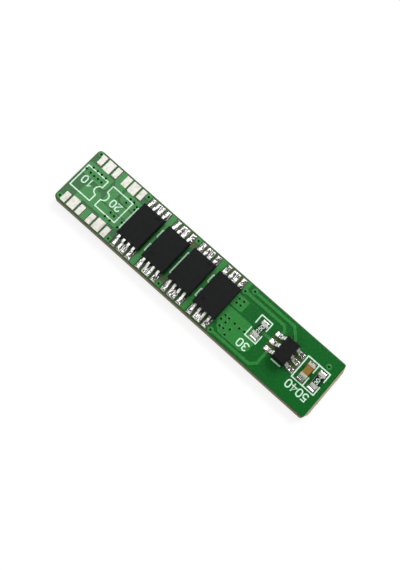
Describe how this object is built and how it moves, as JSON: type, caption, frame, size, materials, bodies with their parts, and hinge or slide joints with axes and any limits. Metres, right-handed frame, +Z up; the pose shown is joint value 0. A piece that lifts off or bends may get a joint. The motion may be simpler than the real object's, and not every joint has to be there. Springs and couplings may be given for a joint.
{
  "type": "battery management board",
  "caption": "Narrow green circuit strip that protects one lithium cell: gull-wing MOSFETs, open tinned pads, a small controller, chip parts and contact pads below.",
  "frame": {"origin": "bottom centre of the board's overall box, on the plane of the underside contact pads", "axes": "+X along the board from the routed end to the scored end, +Y across the board, +Z up out of the component side"},
  "size_m": [0.0342, 0.0072, 0.0022],
  "materials": {
    "laminate": "glass-epoxy laminate, sawn edge",
    "copper": "etched copper foil and plating",
    "mask": "green solder mask, semi-gloss",
    "legend": "white legend ink with a mint cast",
    "tin": "levelled tin, slightly uneven",
    "solder": "reflowed solder, bright and lumpy",
    "lead": "matt tin plating on formed leads",
    "moulding": "charcoal moulding compound",
    "film": "black resistor glaze",
    "substrate": "white alumina",
    "capacitor": "tan ceramic",
    "terminal": "plated chip terminals",
    "cap_terminal": "duller plated capacitor terminals"
  },
  "bodies": {
    "root": {"laminate": "laminate", "top_copper": "copper", "bottom_copper": "copper", "via_barrels": "copper", "top_mask": "mask", "bottom_mask": "mask", "legend": "legend", "open_pad_tin": "tin", "contact_pad_tin": "tin", "mosfet_1_body": "moulding", "mosfet_1_leads": "lead", "mosfet_1_solder": "solder", "mosfet_2_body": "moulding", "mosfet_2_leads": "lead", "mosfet_2_solder": "solder", "mosfet_3_body": "moulding", "mosfet_3_leads": "lead", "mosfet_3_solder": "solder", "mosfet_4_body": "moulding", "mosfet_4_leads": "lead", "mosfet_4_solder": "solder", "protector_body": "moulding", "protector_leads": "lead", "protector_solder": "solder", "resistor_1_substrate": "substrate", "resistor_1_film": "film", "resistor_1_terminals": "terminal", "resistor_1_solder": "solder", "resistor_2_substrate": "substrate", "resistor_2_film": "film", "resistor_2_terminals": "terminal", "resistor_2_solder": "solder", "capacitor_body": "capacitor", "capacitor_terminals": "cap_terminal", "capacitor_solder": "solder"}
  },
  "joints": []
}
